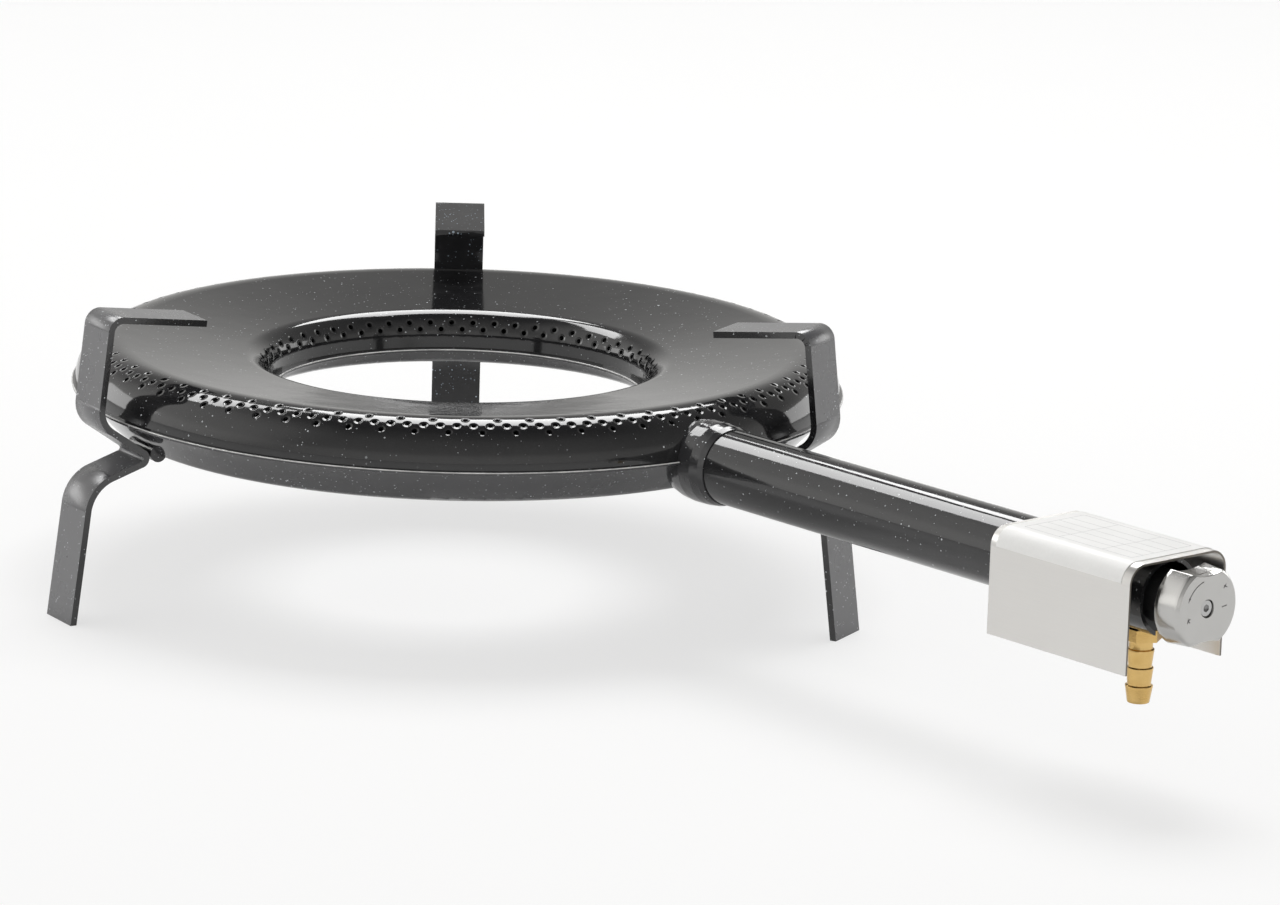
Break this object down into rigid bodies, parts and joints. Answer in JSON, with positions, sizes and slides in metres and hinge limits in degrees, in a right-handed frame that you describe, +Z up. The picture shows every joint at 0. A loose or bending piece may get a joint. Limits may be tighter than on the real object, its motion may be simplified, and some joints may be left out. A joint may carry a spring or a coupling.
{
  "type": "paella burner",
  "caption": "Enamelled gas ring burner on bent flat-bar supports, with a mixer tube, a stainless cover over the tap, a turn-and-push knob and a brass hose tail.",
  "frame": {"origin": "on the floor under the middle of the whole burner", "axes": "+X along the mixer tube from ring to knob, +Z up"},
  "size_m": [0.5544, 0.3218, 0.117],
  "materials": {
    "enamel": "gloss enamel",
    "stainless": "satin",
    "film": "matt",
    "brass": "machined",
    "black_cast": "black paint",
    "cast_alloy": "cast, satin",
    "spring_steel": "drawn",
    "screw_steel": "bright",
    "seal": "matt"
  },
  "bodies": {
    "burner": {"upper_shell": "enamel", "lower_shell": "enamel", "mixer_tube": "enamel", "tube_collar": "enamel", "support_right": "enamel", "support_rear": "enamel", "support_left": "enamel", "support_welds": "enamel", "heat_shield": "stainless", "label_film": "film", "shield_rivets": "stainless", "valve_body": "black_cast", "bonnet": "black_cast", "bonnet_screws": "black_cast", "spindle_seal": "seal", "injector": "brass", "hose_tail": "brass", "tail_washer": "seal"},
    "plug": {"plug_cone": "brass", "return_spring": "spring_steel"},
    "knob": {"control_knob": "cast_alloy", "spindle": "brass", "knob_screw": "screw_steel"}
  },
  "joints": [
    {"name": "tap_turn", "type": "hinge", "parent": "burner", "child": "plug", "pos_m": [0.24675, 0.0109, 0.074], "axis": [1, 0, 0], "range_deg": [0, 180]},
    {"name": "knob_push", "type": "slide", "parent": "plug", "child": "knob", "axis": [-1, 0, 0], "range_m": [0, 0.003], "stiffness_N_per_m": 1500, "springref_m": -0.002, "deforming": ["return_spring"]}
  ]
}
